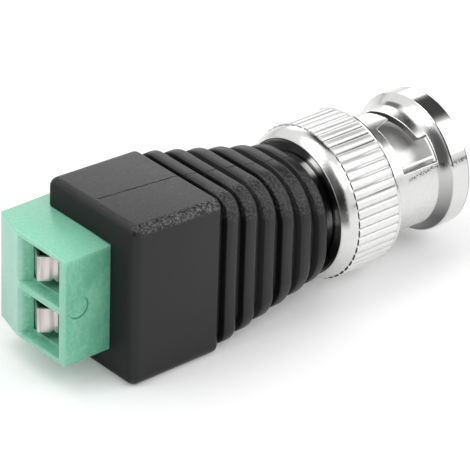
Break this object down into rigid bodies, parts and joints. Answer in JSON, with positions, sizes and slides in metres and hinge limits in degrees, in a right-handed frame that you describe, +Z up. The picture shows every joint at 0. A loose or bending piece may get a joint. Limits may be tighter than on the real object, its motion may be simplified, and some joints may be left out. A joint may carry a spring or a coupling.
{
  "type": "bnc screw terminal adapter",
  "caption": "Bayonet coaxial plug with a two-pole screw terminal block moulded into a black ribbed body; the coupling nut turns on a spring washer stack.",
  "frame": {"origin": "centre of the footprint's bounding box, on the surface the black body's flat bottom stands on", "axes": "+X along the plug's axis towards the coupling nut, +Y to the side the terminal screws are on, +Z up from the flat bottom"},
  "size_m": [0.0434, 0.0144, 0.0156],
  "materials": {
    "black_plastic": "moulded, fine grain",
    "green_plastic": "moulded, satin",
    "white_plastic": "turned, satin",
    "nickel_plate": "nickel plate, glossy",
    "tinned_metal": "tin plate, satin",
    "brass": "plain",
    "seal_rubber": "satin"
  },
  "bodies": {
    "plug": {"moulded_body": "black_plastic", "terminal_housing": "green_plastic", "clamp_frame_1": "tinned_metal", "clamp_frame_2": "tinned_metal", "solder_pin_1": "tinned_metal", "solder_pin_2": "tinned_metal", "signal_lead": "brass", "ground_lead": "brass", "plug_shell": "nickel_plate", "rear_collar": "nickel_plate", "insulator": "white_plastic", "centre_pin": "brass", "outer_contact": "nickel_plate", "sealing_ring": "seal_rubber", "front_thrust_washer": "tinned_metal", "wave_washer_1": "tinned_metal", "wave_washer_2": "tinned_metal"},
    "guard_1": {"wire_guard_1": "tinned_metal"},
    "guard_2": {"wire_guard_2": "tinned_metal"},
    "screw_1": {"terminal_screw_1": "nickel_plate"},
    "screw_2": {"terminal_screw_2": "nickel_plate"},
    "spring_seat": {"rear_thrust_washer": "tinned_metal"},
    "nut": {"coupling_nut": "nickel_plate"}
  },
  "joints": [
    {"name": "guard_1_slide", "type": "slide", "parent": "plug", "child": "guard_1", "axis": [0, -1, 0], "range_m": [0, 0.0015]},
    {"name": "screw_1_turn", "type": "hinge", "parent": "guard_1", "child": "screw_1", "pos_m": [-0.01718, 0, 0.01034], "axis": [0, -1, 0], "range_deg": [0, 1080]},
    {"name": "guard_2_slide", "type": "slide", "parent": "plug", "child": "guard_2", "axis": [0, -1, 0], "range_m": [0, 0.0015]},
    {"name": "screw_2_turn", "type": "hinge", "parent": "guard_2", "child": "screw_2", "pos_m": [-0.01718, 0, 0.00526], "axis": [0, -1, 0], "range_deg": [0, 1080]},
    {"name": "nut_slide", "type": "slide", "parent": "plug", "child": "spring_seat", "axis": [1, 0, 0], "range_m": [0, 0.0006], "stiffness_N_per_m": 2000, "springref_m": -0.001, "deforming": ["wave_washer_1", "wave_washer_2"]},
    {"name": "nut_turn", "type": "hinge", "parent": "spring_seat", "child": "nut", "pos_m": [0, 0, 0.0073], "axis": [1, 0, 0], "continuous": true}
  ],
  "couplings": [
    {"joint": "screw_1_turn", "follows": "guard_1_slide", "rad_per_m": 12566},
    {"joint": "screw_2_turn", "follows": "guard_2_slide", "rad_per_m": 12566}
  ]
}
